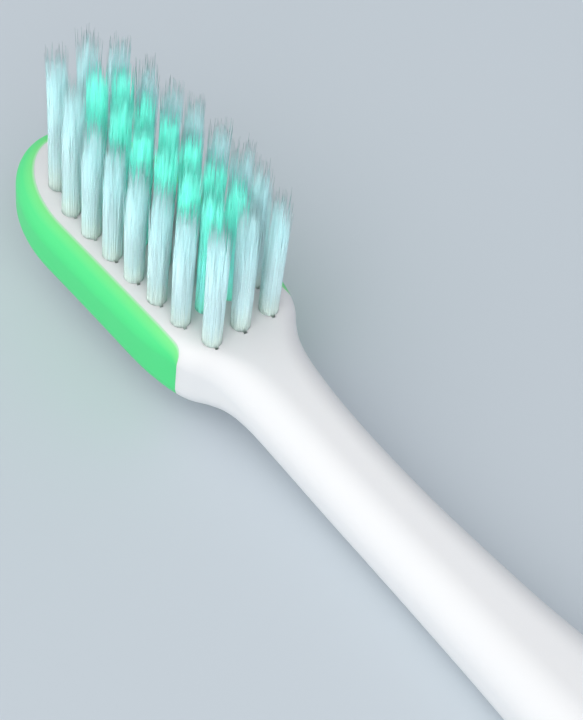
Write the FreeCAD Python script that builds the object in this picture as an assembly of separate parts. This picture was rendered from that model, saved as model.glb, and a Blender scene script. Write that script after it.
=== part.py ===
import FreeCAD, Part
import math
import os

# A manual toothbrush that lies on its belly with the bristles up, in millimetres.
# +X runs from the head to the tail, +Y to the right hand of the person who holds it, +Z up.
# The origin is under the middle of the brush, on the surface that it lies on.

# Overall sizes
OVERALL_LENGTH = 186.0
DECK_HEIGHT = 7.7

# Layout of the tufts on the deck, seen from above
COLUMNS = 4
LONG_ROWS = 6
COLUMN_PITCH = 2.1
ROW_PITCH = 2.5
END_ROW_GAP = 2.55
END_TUFT_PITCH = 2.45
OUTER_COLUMN_BOW = 0.17

# Tufts and the blind holes that they stand in
HOLE_DIAMETER = 1.4
HOLE_DEPTH = 3.0
TUFT_CLEARANCE = 0.03
BRISTLE_HEIGHT = 11.8
TUFT_SPREAD = 0.1
TUFT_TIP_DIAMETER = 1.0
SPREAD_HEIGHT_SHARE = 0.75

# Metal strips that the tufts are folded round
ANCHOR_THICKNESS = 0.25
ANCHOR_HEIGHT = 1.4
ANCHOR_BITE = 0.18
ANCHOR_SKEW_DEGREES = -12.0
FOLD_HEIGHT = 0.5

# Head: a white core with a deck for the tufts, and a soft band round its sides and tip
DECK_MARGIN = 0.5
DECK_TIP_MARGIN = 3.3
BAND_WIDTH = 1.36
HEAD_THICKNESS = 4.6
HEEL_EXTRA_THICKNESS = 0.73
DECK_EDGE_RADIUS = 1.5
BACK_EDGE_RADIUS = 1.6
SIDE_TAPER_WIDTH = 0.6
WIDEST_PLACE_SHARE = 0.62
BAND_END_SETBACK = 0.75
BAND_CORNER_RADIUS = 0.45
TONGUE_DEPTH = 0.35
TONGUE_HEIGHT = 1.2
TONGUE_SETBACK = 1.0

# Neck
SHOULDER_LENGTH = 12.0
NECK_WIDTH = 5.86
NECK_THICKNESS = 5.0
NECK_DROP = 1.51
NECK_ROUNDNESS_SHARE = 0.92

# Handle
GRIP_DISTANCE = 68.0
GRIP_WIDTH = 12.4
GRIP_THICKNESS = 9.4
GRIP_ROUNDNESS_SHARE = 0.8
TAIL_WIDTH = 10.4
TAIL_THICKNESS = 7.5
TAIL_ROUND_LENGTH = 8.3
BELLY_FLAT_DEPTH = 0.15

# Thumb rest: a shallow dish with raised ribs
DISH_RADIUS = 75.0
DISH_DEPTH = 0.75
RIB_COUNT = 5
RIB_PITCH = 2.6
RIB_LENGTH = 5.0
RIB_RADIUS = 0.6
RIB_RISE = 0.3

# Reach of every cut past the faces that it opens
OVERRUN = 2.0

# Places along the head from its widest line to the end of the band
HEAD_PLACE_SHARES = (0.0, 0.25, 0.5, 0.75, 1.0)

# Shoulder rows: place, width left over the neck's, drop and roundness reached
SHOULDER_SHARES = (
    (0.09, 0.80, 0.05, 0.08),
    (0.18, 0.47, 0.11, 0.29),
    (0.27, 0.24, 0.18, 0.56),
    (0.37, 0.12, 0.27, 0.83),
    (0.50, 0.065, 0.42, 1.00),
    (0.66, 0.025, 0.65, 1.00),
    (0.83, 0.005, 0.84, 1.00),
    (1.00, 0.00, 1.00, 1.00),
)

# Neck rows up to the fullest part of the grip: place, width, thickness and belly reached
NECK_SHARES = (
    (0.06, 0.01, 0.02, 0.30),
    (0.12, 0.04, 0.05, 0.49),
    (0.22, 0.125, 0.125, 0.72),
    (0.32, 0.26, 0.25, 0.84),
    (0.44, 0.435, 0.44, 0.93),
    (0.59, 0.66, 0.68, 1.00),
    (0.78, 0.89, 0.90, 1.00),
    (1.00, 1.00, 1.00, 1.00),
)
# The thumb rest lies at the first neck row that is wider than this
THUMB_WIDTH_SHARE = 0.5

# Tail rows: place, and change from the grip's size to the tail's
TAIL_SHARES = (
    (0.25, 0.06),
    (0.50, 0.33),
    (0.75, 0.70),
    (1.00, 1.00),
)

# Shares of a quarter turn at which the rounded tail end is cut into sections
TAIL_ROUND_SHARES = (0.25, 0.48, 0.68, 0.85, 0.95)

# Places and half widths that follow from the sizes
HALF_COLUMNS = (COLUMNS - 1) / 2
HALF_ROWS = (LONG_ROWS - 1) / 2
HOLE_RADIUS = HOLE_DIAMETER / 2
END_ROW_DISTANCE = HALF_ROWS * ROW_PITCH + END_ROW_GAP
DECK_TIP_DISTANCE = END_ROW_DISTANCE + HOLE_RADIUS + DECK_TIP_MARGIN
DECK_HALF_WIDTH = HALF_COLUMNS * COLUMN_PITCH + OUTER_COLUMN_BOW + HOLE_RADIUS + DECK_MARGIN
HEAD_HALF_WIDTH = DECK_HALF_WIDTH + BAND_WIDTH
TIP_X = -OVERALL_LENGTH / 2
TAIL_X = OVERALL_LENGTH / 2
FIELD_X = TIP_X + DECK_TIP_DISTANCE + BAND_WIDTH
WIDEST_X = FIELD_X - WIDEST_PLACE_SHARE * END_ROW_DISTANCE
BAND_END_X = FIELD_X + END_ROW_DISTANCE - BAND_END_SETBACK
NECK_X = BAND_END_X + SHOULDER_LENGTH
GRIP_X = NECK_X + GRIP_DISTANCE
TAIL_ROUND_X = TAIL_X - TAIL_ROUND_LENGTH
BACK_HEIGHT = DECK_HEIGHT - HEAD_THICKNESS
HEAD_MIDDLE = DECK_HEIGHT - HEAD_THICKNESS / 2
HEEL_THICKNESS = HEAD_THICKNESS + HEEL_EXTRA_THICKNESS
HEEL_MIDDLE = DECK_HEIGHT - HEEL_THICKNESS / 2
NECK_BELLY = HEEL_MIDDLE - NECK_DROP - NECK_THICKNESS / 2
GRIP_BELLY = -BELLY_FLAT_DEPTH
HOLE_FLOOR = DECK_HEIGHT - HOLE_DEPTH
ANCHOR_BASE = HOLE_FLOOR + FOLD_HEIGHT
ANCHOR_LENGTH = HOLE_DIAMETER + 2 * ANCHOR_BITE
ACROSS = FreeCAD.Vector(0, 1, 0)


def vec(x, y, z):
    """A point or direction."""
    return FreeCAD.Vector(x, y, z)


def between(start, end, share):
    """The value that lies a share of the way from start to end."""
    return start + (end - start) * share


def line(a, b):
    """A straight edge."""
    return Part.LineSegment(a, b).toShape()


def arc(a, middle, b):
    """A circular edge through three points."""
    return Part.Arc(a, middle, b).toShape()


def section(x, half_width, top, bottom, top_radius, bottom_radius):
    """A rounded rectangle across the brush, as one closed wire."""
    corners = (
        (1, top - top_radius, top_radius, 0),
        (-1, top - top_radius, top_radius, 90),
        (-1, bottom + bottom_radius, bottom_radius, 180),
        (1, bottom + bottom_radius, bottom_radius, 270),
    )
    arcs = []
    for side, height, radius, first_degrees in corners:
        middle = vec(x, side * (half_width - radius), height)
        points = []
        for step in range(3):
            angle = math.radians(first_degrees + 45 * step)
            points.append(middle + vec(0, radius * math.cos(angle), radius * math.sin(angle)))
        arcs.append(points)
    edges = []
    for points, following in zip(arcs, arcs[1:] + arcs[:1]):
        edges.append(arc(*points))
        edges.append(line(points[-1], following[0]))
    return Part.Wire(edges)


def handle_section(x, half_width, belly, thickness, roundness):
    """A section of the neck, grip or tail, rounded by a share of its smaller half."""
    radius = roundness * min(half_width, thickness / 2)
    return section(x, half_width, belly + thickness, belly, radius, radius)


def head_sections():
    """Sections from the widest line of the head to the end of the band."""
    wires = []
    for place in HEAD_PLACE_SHARES:
        x = between(WIDEST_X, BAND_END_X, place)
        half_width = HEAD_HALF_WIDTH - SIDE_TAPER_WIDTH * place**2
        back = BACK_HEIGHT - HEEL_EXTRA_THICKNESS * place**2
        wires.append(section(x, half_width, DECK_HEIGHT, back, DECK_EDGE_RADIUS, BACK_EDGE_RADIUS))
    return wires


def shoulder_sections():
    """Sections from the end of the band to the waist of the neck."""
    head_half = HEAD_HALF_WIDTH - SIDE_TAPER_WIDTH
    neck_radius = NECK_ROUNDNESS_SHARE * min(NECK_WIDTH, NECK_THICKNESS) / 2
    wires = []
    for place, width_left, drop, roundness in SHOULDER_SHARES:
        x = between(BAND_END_X, NECK_X, place)
        half_width = between(NECK_WIDTH / 2, head_half, width_left)
        thickness = between(HEEL_THICKNESS, NECK_THICKNESS, roundness)
        middle = HEEL_MIDDLE - NECK_DROP * drop
        top_radius = between(DECK_EDGE_RADIUS, neck_radius, roundness)
        bottom_radius = between(BACK_EDGE_RADIUS, neck_radius, roundness)
        top = middle + thickness / 2
        wires.append(section(x, half_width, top, top - thickness, top_radius, bottom_radius))
    return wires


def neck_row(row):
    """Place, half width, belly, thickness and roundness of one row of the neck's table."""
    place, width, thickness, belly = NECK_SHARES[row]
    return (
        between(NECK_X, GRIP_X, place),
        between(NECK_WIDTH, GRIP_WIDTH, width) / 2,
        between(NECK_BELLY, GRIP_BELLY, belly),
        between(NECK_THICKNESS, GRIP_THICKNESS, thickness),
        between(NECK_ROUNDNESS_SHARE, GRIP_ROUNDNESS_SHARE, width),
    )


def tail_sections():
    """Sections from the grip to the rounded end."""
    wires = []
    for place, change in TAIL_SHARES:
        half_width = between(GRIP_WIDTH, TAIL_WIDTH, change) / 2
        thickness = between(GRIP_THICKNESS, TAIL_THICKNESS, change)
        x = between(GRIP_X, TAIL_ROUND_X, place)
        wires.append(handle_section(x, half_width, GRIP_BELLY, thickness, GRIP_ROUNDNESS_SHARE))
    middle = GRIP_BELLY + TAIL_THICKNESS / 2
    quarter_turn = math.pi / 2
    last_sine = math.sin(quarter_turn * TAIL_ROUND_SHARES[-1])
    for share in TAIL_ROUND_SHARES:
        angle = quarter_turn * share
        x = TAIL_ROUND_X + TAIL_ROUND_LENGTH * math.sin(angle) / last_sine
        thickness = TAIL_THICKNESS * math.cos(angle)
        half_width = TAIL_WIDTH / 2 * math.cos(angle)
        belly = middle - thickness / 2
        wires.append(handle_section(x, half_width, belly, thickness, GRIP_ROUNDNESS_SHARE))
    return wires


def half_ellipse(x, length, half_width, z):
    """The edge round a tip: half an ellipse from the left side, past the tip, to the right side."""
    middle = vec(x, 0, z)
    ellipse = Part.Ellipse(vec(x - length, 0, z), vec(x, half_width, z), middle)
    start = ellipse.parameter(vec(x, -half_width, z))
    end = ellipse.parameter(vec(x, half_width, z))
    first, last = sorted((start, end))
    edge = Part.Arc(ellipse, first, last).toShape()
    if edge.valueAt((edge.FirstParameter + edge.LastParameter) / 2).x > x:
        edge = Part.Arc(ellipse, last, first + 2 * math.pi).toShape()
    return edge


def make_tip():
    """The rounded end of the head, ahead of its widest line."""
    length = WIDEST_X - TIP_X
    edge = half_ellipse(WIDEST_X, length, HEAD_HALF_WIDTH, BACK_HEIGHT)
    chord = line(vec(WIDEST_X, HEAD_HALF_WIDTH, BACK_HEIGHT), vec(WIDEST_X, -HEAD_HALF_WIDTH, BACK_HEIGHT))
    block = Part.Face(Part.Wire(Part.__sortEdges__([edge, chord]))).extrude(vec(0, 0, HEAD_THICKNESS))
    for height, radius in ((DECK_HEIGHT, DECK_EDGE_RADIUS), (BACK_HEIGHT, BACK_EDGE_RADIUS)):
        rims = []
        for candidate in block.Edges:
            box = candidate.BoundBox
            if box.ZLength < TUFT_CLEARANCE and abs(box.ZMin - height) < TUFT_CLEARANCE:
                if box.XLength > length / 2:
                    rims.append(candidate)
        block = block.makeFillet(radius, rims)
    return block


def make_head():
    """The head up to the end of the band, before the band is parted from it."""
    return Part.makeLoft(head_sections(), True, False).fuse(make_tip()).removeSplitter()


def make_shaft():
    """Neck and handle from the end of the band on, with the flat that they lie on."""
    wires = head_sections()[-1:] + shoulder_sections()
    for row in range(len(NECK_SHARES)):
        wires.append(handle_section(*neck_row(row)))
    wires += tail_sections()
    reach = GRIP_WIDTH + OVERRUN
    under = Part.makeBox(OVERALL_LENGTH, 2 * reach, OVERRUN, vec(TIP_X, -reach, -OVERRUN))
    return Part.makeLoft(wires, True, False).cut(under)


def neck_top(row):
    """The point on the top of the handle at one row of the neck's table."""
    x, half_width, belly, thickness, roundness = neck_row(row)
    return vec(x, 0, belly + thickness)


def thumb_frame():
    """Middle of the ball that hollows the thumb rest, and the way up and along from there."""
    row = [width > THUMB_WIDTH_SHARE for place, width, thickness, belly in NECK_SHARES].index(True)
    along = neck_top(row + 1) - neck_top(row - 1)
    along.normalize()
    up = vec(-along.z, 0, along.x)
    return neck_top(row) + up * (DISH_RADIUS - DISH_DEPTH), up, along


def thumb_ribs():
    """Raised ribs across the thumb rest, round ended."""
    middle, up, along = thumb_frame()
    ribs = []
    for index in range(RIB_COUNT):
        offset = (index - (RIB_COUNT - 1) / 2) * RIB_PITCH
        fall = math.sqrt(DISH_RADIUS**2 - offset**2) + RIB_RADIUS - RIB_RISE
        start = middle + along * offset - up * fall - vec(0, RIB_LENGTH / 2, 0)
        end = start + vec(0, RIB_LENGTH, 0)
        bar = Part.makeCylinder(RIB_RADIUS, RIB_LENGTH, start, ACROSS)
        ends = [Part.makeSphere(RIB_RADIUS, place, ACROSS) for place in (start, end)]
        ribs.append(bar.fuse(ends))
    return ribs


def make_band(head):
    """The soft band: the head's skin outside the deck's outline, with a groove for the tongue."""
    outside = HEAD_HALF_WIDTH + OVERRUN
    ahead = TIP_X - OVERRUN
    low = DECK_HEIGHT - HEEL_THICKNESS - OVERRUN
    deep = HEEL_THICKNESS + 2 * OVERRUN
    deck_length = WIDEST_X - FIELD_X + DECK_TIP_DISTANCE
    corner_x = BAND_END_X - BAND_CORNER_RADIUS
    corner_y = DECK_HALF_WIDTH + BAND_CORNER_RADIUS
    slant = BAND_CORNER_RADIUS * math.sqrt(0.5)
    edges = [half_ellipse(WIDEST_X, deck_length, DECK_HALF_WIDTH, low)]
    for side in (-1, 1):
        inner = vec(corner_x, side * DECK_HALF_WIDTH, low)
        outer = vec(BAND_END_X, side * corner_y, low)
        bend = vec(corner_x + slant, side * (corner_y - slant), low)
        behind = outer + vec(OVERRUN, 0, 0)
        rim = vec(behind.x, side * outside, low)
        edges.append(line(vec(WIDEST_X, side * DECK_HALF_WIDTH, low), inner))
        edges.append(arc(inner, bend, outer))
        edges.append(line(outer, behind))
        edges.append(line(behind, rim))
        edges.append(line(rim, vec(ahead, side * outside, low)))
    edges.append(line(vec(ahead, -outside, low), vec(ahead, outside, low)))
    zone = Part.Face(Part.Wire(Part.__sortEdges__(edges))).extrude(vec(0, 0, deep))
    return head.common(zone).cut(make_tongue(deck_length))


def make_tongue(deck_length):
    """The rib round the core that keys the band to it."""
    low = HEAD_MIDDLE - TONGUE_HEIGHT / 2
    half_width = DECK_HALF_WIDTH + TONGUE_DEPTH
    end_x = BAND_END_X - BAND_CORNER_RADIUS - TONGUE_SETBACK
    edges = [half_ellipse(WIDEST_X, deck_length + TONGUE_DEPTH, half_width, low)]
    for side in (-1, 1):
        edges.append(line(vec(WIDEST_X, side * half_width, low), vec(end_x, side * half_width, low)))
    edges.append(line(vec(end_x, -half_width, low), vec(end_x, half_width, low)))
    return Part.Face(Part.Wire(Part.__sortEdges__(edges))).extrude(vec(0, 0, TONGUE_HEIGHT))


def tuft_places():
    """Name and place of every tuft: row 1 is at the tip, left is the side at -Y."""
    places = []
    end_offsets = (("left", -END_TUFT_PITCH), ("middle", 0), ("right", END_TUFT_PITCH))
    for row, x in ((1, FIELD_X - END_ROW_DISTANCE), (LONG_ROWS + 2, FIELD_X + END_ROW_DISTANCE)):
        for side, y in end_offsets:
            places.append((f"white_tuft_row_{row}_{side}", x, y))
    for index in range(LONG_ROWS):
        along = index - HALF_ROWS
        bow = OUTER_COLUMN_BOW * (1 - (along / HALF_ROWS) ** 2)
        x = FIELD_X + along * ROW_PITCH
        for name, side in (("left", -1), ("right", 1)):
            outer = side * (HALF_COLUMNS * COLUMN_PITCH + bow)
            inner = side * (HALF_COLUMNS - 1) * COLUMN_PITCH
            places.append((f"white_tuft_row_{index + 2}_{name}", x, outer))
            places.append((f"green_tuft_row_{index + 2}_{name}", x, inner))
    return places


def strip(x, y, base, height, length):
    """A flat strip on edge across a hole, turned to the skew of the anchors."""
    corner = vec(x - length / 2, y - ANCHOR_THICKNESS / 2, base)
    block = Part.makeBox(length, ANCHOR_THICKNESS, height, corner)
    block.rotate(vec(x, y, base), vec(0, 0, 1), ANCHOR_SKEW_DEGREES)
    return block


def hole_cut(x, y):
    """A blind hole and the track that its anchor leaves on the way in."""
    hole = Part.makeCylinder(HOLE_RADIUS, HOLE_DEPTH + OVERRUN, vec(x, y, HOLE_FLOOR))
    track = strip(x, y, ANCHOR_BASE, DECK_HEIGHT + OVERRUN - ANCHOR_BASE, ANCHOR_LENGTH)
    return hole.fuse(track)


def make_tuft(x, y):
    """A bundle of filaments folded round its anchor, a little wider near the tips."""
    radius = HOLE_RADIUS - TUFT_CLEARANCE
    tip = DECK_HEIGHT + BRISTLE_HEIGHT
    profile = [
        vec(x, y, HOLE_FLOOR),
        vec(x + radius, y, HOLE_FLOOR),
        vec(x + radius, y, DECK_HEIGHT),
        vec(x + radius + TUFT_SPREAD, y, DECK_HEIGHT + BRISTLE_HEIGHT * SPREAD_HEIGHT_SHARE),
        vec(x + TUFT_TIP_DIAMETER / 2, y, tip),
        vec(x, y, tip),
    ]
    outline = Part.Face(Part.makePolygon(profile + profile[:1]))
    bundle = outline.revolve(vec(x, y, HOLE_FLOOR), vec(0, 0, 1), 360)
    return bundle.cut(strip(x, y, ANCHOR_BASE, ANCHOR_HEIGHT, ANCHOR_LENGTH + OVERRUN))


def save(name, shape):
    """Writes one node and prints its solids, volume and state."""
    shape.exportStep(f"parts/{name}.step")
    volume = sum(solid.Volume for solid in shape.Solids)
    print(f"{name}: {len(shape.Solids)} solid, {volume:.3f} mm3, valid {shape.isValid()}")


def main():
    """Builds every piece of the brush and writes it to its own file."""
    os.makedirs("parts", exist_ok=True)
    places = tuft_places()
    head = make_head()
    band = make_band(head)
    dish = Part.makeSphere(DISH_RADIUS, thumb_frame()[0], ACROSS)
    handle = make_shaft().cut(dish).fuse(thumb_ribs()).fuse(head.cut(band)).removeSplitter()
    handle = handle.cut([hole_cut(x, y) for name, x, y in places])
    save("handle", handle.Solids[0] if len(handle.Solids) == 1 else handle)
    save("head_band", band.Solids[0] if len(band.Solids) == 1 else band)
    for name, x, y in places:
        save(name, make_tuft(x, y).Solids[0])
    anchors = [strip(x, y, ANCHOR_BASE, ANCHOR_HEIGHT, ANCHOR_LENGTH) for name, x, y in places]
    save("tuft_anchors", Part.makeCompound(anchors))


main()
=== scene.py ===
"""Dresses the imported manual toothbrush: white handle, soft green head band and tufts of filaments.

Sizes are in millimetres, in the frame of the CAD model: +X from the head to the tail, +Y to the
right hand of the person who holds the brush, +Z up along the bristles.
"""

import logging
import math
import random
from dataclasses import dataclass
from enum import Enum
from functools import cached_property

import bmesh
import bpy
from mathutils import Matrix, Vector


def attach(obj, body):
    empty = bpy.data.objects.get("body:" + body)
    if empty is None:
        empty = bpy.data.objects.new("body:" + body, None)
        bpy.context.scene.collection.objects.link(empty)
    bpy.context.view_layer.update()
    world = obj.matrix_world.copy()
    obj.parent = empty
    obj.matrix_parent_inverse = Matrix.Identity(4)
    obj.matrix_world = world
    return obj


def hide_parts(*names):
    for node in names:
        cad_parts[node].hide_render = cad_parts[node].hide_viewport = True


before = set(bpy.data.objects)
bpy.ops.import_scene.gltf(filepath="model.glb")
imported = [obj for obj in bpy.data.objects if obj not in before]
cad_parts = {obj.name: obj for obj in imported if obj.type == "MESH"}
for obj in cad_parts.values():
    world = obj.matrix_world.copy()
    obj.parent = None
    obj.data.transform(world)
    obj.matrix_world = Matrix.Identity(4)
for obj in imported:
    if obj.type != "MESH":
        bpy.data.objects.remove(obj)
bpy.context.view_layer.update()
LOG = logging.getLogger("toothbrush")
MILLIMETRE = 0.001

Rim = list[Vector]
Span = tuple[float, float]
Row = tuple[float, ...]
Triple = tuple[float, float, float]
Colour = Triple


class Tint(Enum):
    """The two colours of filament that the head carries."""

    WHITE = "white"
    GREEN = "green"


class Side(Enum):
    """The sides of the head: left is at -Y."""

    LEFT = -1
    RIGHT = 1


def between(start: float, end: float, share: float) -> float:
    """The value that lies a share of the way from start to end."""
    return start + (end - start) * share


def evenly(start: float, step: float, count: int) -> list[float]:
    """Places that follow one another at one spacing."""
    return [start + step * index for index in range(count)]


def spokes(count: int) -> list[Matrix]:
    """Turns about Z that share out a full circle."""
    return [Matrix.Rotation(math.tau * index / count, 3, "Z") for index in range(count)]


@dataclass(frozen=True)
class FairLine:
    """A smooth line through knots that never swings past its values.

    Attributes:
        knots: Pairs of place and value, in rising order of place.
    """

    knots: tuple[tuple[float, float], ...]

    def secant(self, index: int) -> float:
        """The slope of the straight run that follows one knot."""
        (x0, v0), (x1, v1) = self.knots[index], self.knots[index + 1]
        return (v1 - v0) / (x1 - x0)

    def slope(self, index: int) -> float:
        """The slope of the line at one knot.

        Args:
            index: Which knot.

        Returns:
            The harmonic mean of the runs on both sides, or 0 at a turning point.
        """
        last = len(self.knots) - 1
        before = self.secant(max(index - 1, 0))
        after = self.secant(min(index, last - 1))
        if before * after <= 0:
            return 0.0
        return 2 * before * after / (before + after)

    def at(self, place: float) -> float:
        """The value at a place.

        Args:
            place: Where to read the line.

        Returns:
            The value there, held at the ends.
        """
        if place <= self.knots[0][0]:
            return self.knots[0][1]
        if place >= self.knots[-1][0]:
            return self.knots[-1][1]
        index = max(i for i, knot in enumerate(self.knots) if knot[0] <= place)
        (x0, v0), (x1, v1) = self.knots[index], self.knots[index + 1]
        run = x1 - x0
        t = (place - x0) / run
        rise = self.slope(index) * run
        fall = self.slope(index + 1) * run
        return (
            v0 * (1 + 2 * t) * (1 - t) ** 2
            + rise * t * (1 - t) ** 2
            + v1 * t * t * (3 - 2 * t)
            - fall * t * t * (1 - t)
        )


@dataclass(frozen=True)
class Section:
    """A rounded rectangle across the brush, cut off at its sides where the band covers them.

    Attributes:
        x: Place along the brush.
        half_width: Half of the full width.
        top: Height of the top.
        bottom: Height of the underside.
        top_radius: Radius of the upper corners.
        bottom_radius: Radius of the lower corners.
        cut: Distance from the middle at which the sides are cut off.
    """

    x: float
    half_width: float
    top: float
    bottom: float
    top_radius: float
    bottom_radius: float
    cut: float = math.inf

    FLAT_STEPS = 6
    CORNER_STEPS = 12
    SIDE_STEPS = 6
    LEAST_CORNER = 0.01

    def corner(self, radius: float) -> list[tuple[float, float]]:
        """One corner from the flat to the side.

        Args:
            radius: The corner's radius.

        Returns:
            Pairs of distance from the middle and drop from the flat.
        """
        start = self.half_width - radius
        if self.cut <= start + self.LEAST_CORNER:
            edge = max(self.cut - self.LEAST_CORNER, 0.0)
            shares = [step / self.CORNER_STEPS for step in range(self.CORNER_STEPS + 1)]
            return [(between(edge, self.cut, share), 0.0) for share in shares]
        reach = min(self.cut - start, radius)
        sweep = math.asin(reach / radius)
        pairs = []
        for step in range(self.CORNER_STEPS + 1):
            angle = sweep * step / self.CORNER_STEPS
            pairs.append((start + radius * math.sin(angle), radius * (1 - math.cos(angle))))
        return pairs

    def rim(self) -> Rim:
        """The points round the section, from the middle of the top over the right side.

        Returns:
            The closed row of points.
        """
        upper = [(y, self.top - drop) for y, drop in self.corner(self.top_radius)]
        lower = [(y, self.bottom + drop) for y, drop in reversed(self.corner(self.bottom_radius))]
        half = [(upper[0][0] * i / self.FLAT_STEPS, self.top) for i in range(self.FLAT_STEPS)]
        half += upper
        (upper_y, upper_z), (lower_y, lower_z) = upper[-1], lower[0]
        for step in range(1, self.SIDE_STEPS):
            share = step / self.SIDE_STEPS
            half.append((between(upper_y, lower_y, share), between(upper_z, lower_z, share)))
        half += lower
        for step in range(1, self.FLAT_STEPS + 1):
            half.append((lower[-1][0] * (1 - step / self.FLAT_STEPS), self.bottom))
        right = [Vector((self.x, y, z)) for y, z in half]
        left = [Vector((self.x, -y, z)) for y, z in reversed(half[1:-1])]
        return right + left


class Mesh:
    """Shared steps that turn a bmesh in millimetres into a finished piece."""

    @staticmethod
    def skin(bm: bmesh.types.BMesh, rims: list[Rim]) -> list[list[bmesh.types.BMVert]]:
        """Stretches a closed skin over rims by extruding one circle from rim to rim.

        Args:
            bm: The bmesh that gets the skin.
            rims: Rows of points, all of one length.

        Returns:
            The vertices of each rim, in the order of its points.
        """
        mark = bm.verts.layers.int.new("rim_place")
        ring = bmesh.ops.create_circle(bm, segments=len(rims[0]), radius=1.0)["verts"]
        edges = {edge for vert in ring for edge in vert.link_edges}
        for place, vert in enumerate(ring):
            vert[mark] = place
        rows = [ring]
        for _ in rims[1:]:
            grown = bmesh.ops.extrude_edge_only(bm, edges=list(edges))["geom"]
            fresh = [item for item in grown if isinstance(item, bmesh.types.BMVert)]
            chosen = set(fresh)
            edges = {
                item
                for item in grown
                if isinstance(item, bmesh.types.BMEdge) and all(vert in chosen for vert in item.verts)
            }
            rows.append(sorted(fresh, key=lambda vert: vert[mark]))
        for row, rim in zip(rows, rims):
            for vert, point in zip(row, rim):
                vert.co = point
        return rows

    @staticmethod
    def close_row(bm: bmesh.types.BMesh, row: list[bmesh.types.BMVert]) -> None:
        """Fills the open end of a skin with one face."""
        chosen = set(row)
        open_edges = [edge for edge in bm.edges if edge.is_boundary]
        edges = [edge for edge in open_edges if chosen.issuperset(edge.verts)]
        bmesh.ops.edgeloop_fill(bm, edges=edges)

    @staticmethod
    def to_object(bm: bmesh.types.BMesh, name: str, crease_degrees: float = 30.0) -> bpy.types.Object:
        """Writes a bmesh in millimetres to a new object in metres.

        Args:
            bm: The bmesh, which is freed.
            name: Name of the object.
            crease_degrees: Edges sharper than this stay sharp.

        Returns:
            The new object.
        """
        bmesh.ops.scale(bm, vec=Vector((MILLIMETRE,) * 3), verts=bm.verts)
        bmesh.ops.recalc_face_normals(bm, faces=bm.faces)
        mesh = bpy.data.meshes.new(name)
        bm.to_mesh(mesh)
        bm.free()
        mesh.shade_smooth()
        mesh.set_sharp_from_angle(angle=math.radians(crease_degrees))
        obj = bpy.data.objects.new(name, mesh)
        bpy.context.scene.collection.objects.link(obj)
        return obj

    @staticmethod
    def carve(obj: bpy.types.Object, cutters: list[bpy.types.Object], crease_degrees: float) -> None:
        """Cuts other shapes out of an object and throws them away.

        Args:
            obj: The object to carve.
            cutters: What is cut out of it.
            crease_degrees: Edges sharper than this stay sharp.
        """
        for cutter in cutters:
            step = obj.modifiers.new(cutter.name, "BOOLEAN")
            step.operation = "DIFFERENCE"
            step.solver = "EXACT"
            step.object = cutter
        graph = bpy.context.evaluated_depsgraph_get()
        carved = bpy.data.meshes.new_from_object(obj.evaluated_get(graph))
        obj.modifiers.clear()
        plain, obj.data = obj.data, carved
        carved.name = obj.name
        bpy.data.meshes.remove(plain)
        for cutter in cutters:
            mesh = cutter.data
            bpy.data.objects.remove(cutter)
            bpy.data.meshes.remove(mesh)
        carved.shade_smooth()
        carved.set_sharp_from_angle(angle=math.radians(crease_degrees))

    @staticmethod
    def adopt(obj: bpy.types.Object, node: str, slot: str, material: bpy.types.Material) -> None:
        """Dresses a piece and lets it stand for its CAD node.

        Args:
            obj: The piece.
            node: The CAD node that it stands for.
            slot: The record's material slot; not used.
            material: Its finish.
        """
        obj.data.materials.clear()
        obj.data.materials.append(material)
        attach(obj, "root")
        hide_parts(node)
        LOG.info("%s stands for %s, %d faces", obj.name, node, len(obj.data.polygons))


@dataclass(frozen=True)
class Pattern:
    """A noise pattern on a piece.

    Attributes:
        waves: Waves per metre.
        detail: How many finer layers it has.
        stretch: Factors along X, Y and Z.
    """

    waves: float
    detail: float
    stretch: Triple = (1.0, 1.0, 1.0)


@dataclass(frozen=True)
class Grain(Pattern):
    """A pattern that raises the surface.

    Attributes:
        height: Its height in metres.
        strength: How much of it shows.
    """

    height: float = 0.00001
    strength: float = 0.1


@dataclass(frozen=True)
class InnerLight:
    """Light that spreads inside a plastic.

    Attributes:
        share: Share of the light that does so.
        reach: How far it gets, in metres.
        by_colour: Factors of that for red, green and blue.
    """

    share: float
    reach: float
    by_colour: Triple


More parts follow.
